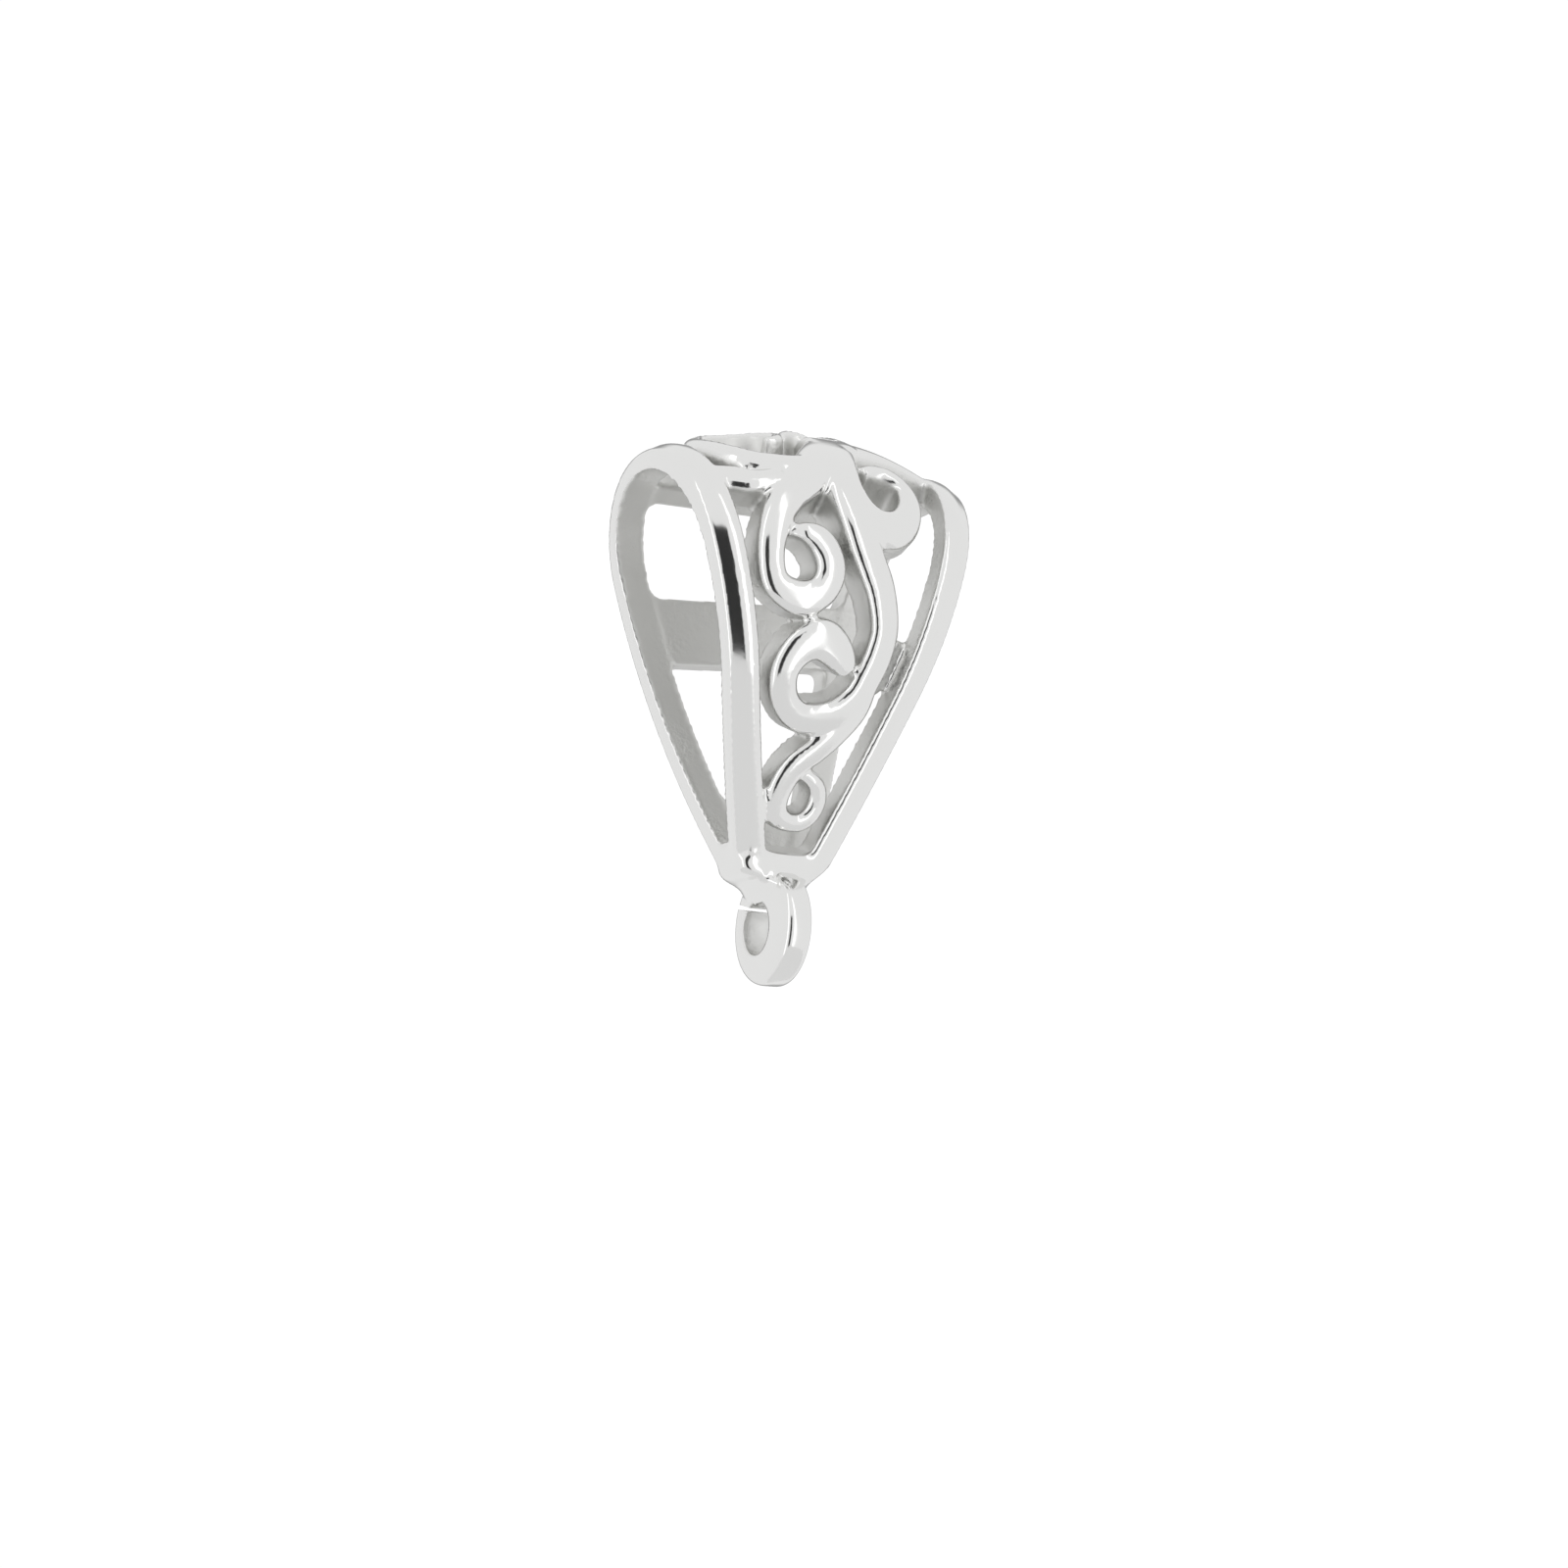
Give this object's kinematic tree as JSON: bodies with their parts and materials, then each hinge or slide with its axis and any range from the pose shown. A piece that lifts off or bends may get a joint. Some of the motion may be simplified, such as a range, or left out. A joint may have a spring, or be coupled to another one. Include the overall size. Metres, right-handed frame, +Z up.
{
  "type": "pendant bail",
  "caption": "Tapering filigree bail that rides on a chain, with an open ring below it for a pendant; scrollwork front and a windowed plain back.",
  "frame": {"origin": "the chain's seat, on the underside of the arch over its centre, where the part hangs", "axes": "+X across the strap to the right as seen from the front, -Y to the front with the scrollwork, +Z up"},
  "size_m": [0.0096, 0.0073, 0.0161],
  "materials": {
    "silver": "polished cast silver, rhodium plated"
  },
  "bodies": {
    "root": {"bail": "silver"}
  },
  "joints": []
}
